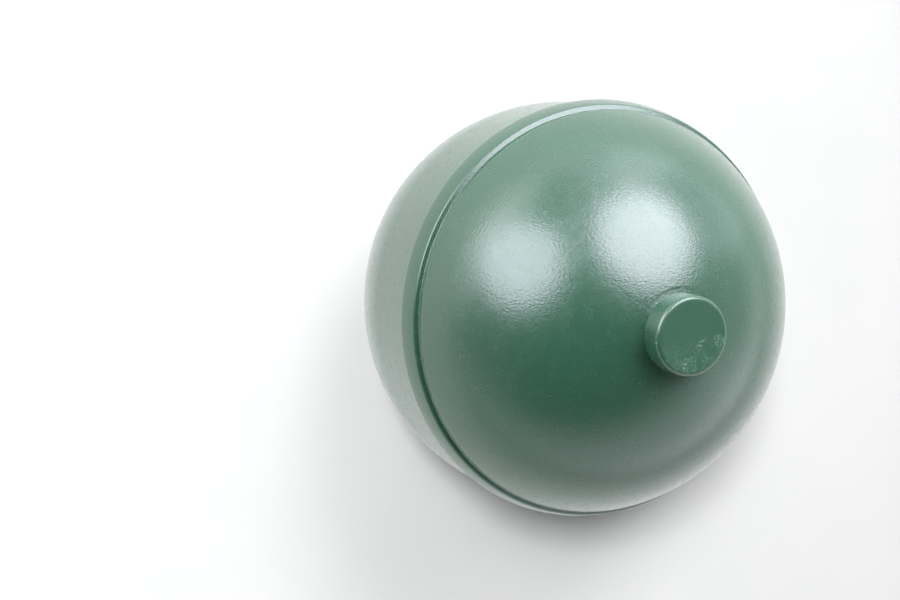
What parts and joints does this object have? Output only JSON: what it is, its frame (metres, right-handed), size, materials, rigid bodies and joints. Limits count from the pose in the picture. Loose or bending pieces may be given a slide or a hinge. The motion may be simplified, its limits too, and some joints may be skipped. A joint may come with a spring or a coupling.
{
  "type": "diaphragm accumulator",
  "caption": "Welded steel sphere with a gas dome, a fluid cup and a rubber diaphragm, a charging stub on one pole and a threaded neck with a damper valve on the other.",
  "frame": {"origin": "centre of the neck's end face, which is the lowest point of the part", "axes": "+Z along the axis of revolution, from the threaded neck to the charging stub; X and Y are free"},
  "size_m": [0.1018, 0.1018, 0.1238],
  "materials": {
    "green_paint": "semi-gloss",
    "bare_steel": "turned",
    "rubber": "matte"
  },
  "bodies": {
    "vessel": {"gas_shell": "green_paint", "fluid_shell": "green_paint", "weld_seam": "green_paint", "fill_plug": "green_paint", "plug_weld": "green_paint", "diaphragm": "rubber", "neck_seal": "rubber", "clamp_ring": "bare_steel", "damper_body": "bare_steel", "damper_bolt": "bare_steel", "damper_nut": "bare_steel", "bump_shim_1": "bare_steel", "bump_shim_2": "bare_steel", "bump_shim_3": "bare_steel", "bump_washer": "bare_steel", "rebound_shim_1": "bare_steel", "rebound_shim_2": "bare_steel", "rebound_shim_3": "bare_steel", "rebound_washer": "bare_steel", "snap_ring": "bare_steel"},
    "button": {"diaphragm_button": "bare_steel"}
  },
  "joints": [
    {"name": "diaphragm_stroke", "type": "slide", "parent": "vessel", "child": "button", "axis": [0, 0, 1], "range_m": [0, 0.05], "deforming": ["diaphragm"]}
  ]
}
